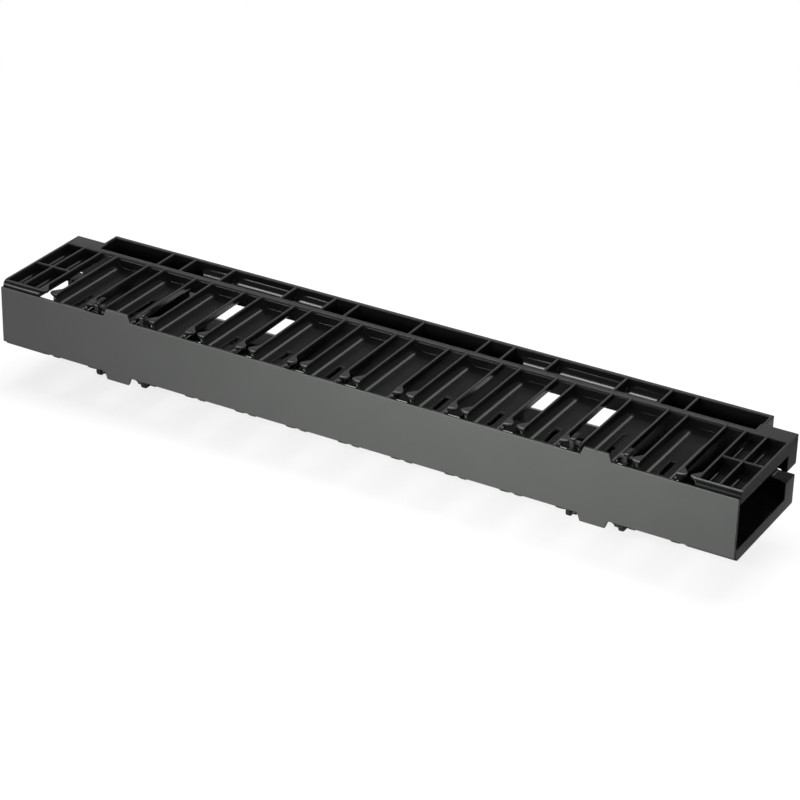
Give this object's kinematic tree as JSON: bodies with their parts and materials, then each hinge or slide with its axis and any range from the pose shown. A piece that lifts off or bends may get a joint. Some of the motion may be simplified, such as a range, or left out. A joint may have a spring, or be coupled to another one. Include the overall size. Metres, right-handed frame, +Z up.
{
  "type": "horizontal cable manager",
  "caption": "One rack unit cable tunnel with a slotted comb above and below, two flared rear pass-throughs, and a clip-on front cover that swings down.",
  "frame": {"origin": "centre of the plane in which the ears sit on the rack rails, half way up the unit", "axes": "X along the rack's width, Z up, +Y to the back of the rack"},
  "size_m": [0.4826, 0.0917, 0.0486],
  "materials": {
    "tray_plastic": "black moulded plastic, satin",
    "cover_plastic": "black moulded plastic, satin, smooth face"
  },
  "bodies": {
    "tray": {"cable_tray": "tray_plastic"},
    "cover": {"front_cover": "cover_plastic"}
  },
  "joints": [
    {"name": "cover_hinge", "type": "hinge", "parent": "tray", "child": "cover", "pos_m": [0, -0.0741, -0.0215], "axis": [1, 0, 0], "range_deg": [0, 120]}
  ]
}
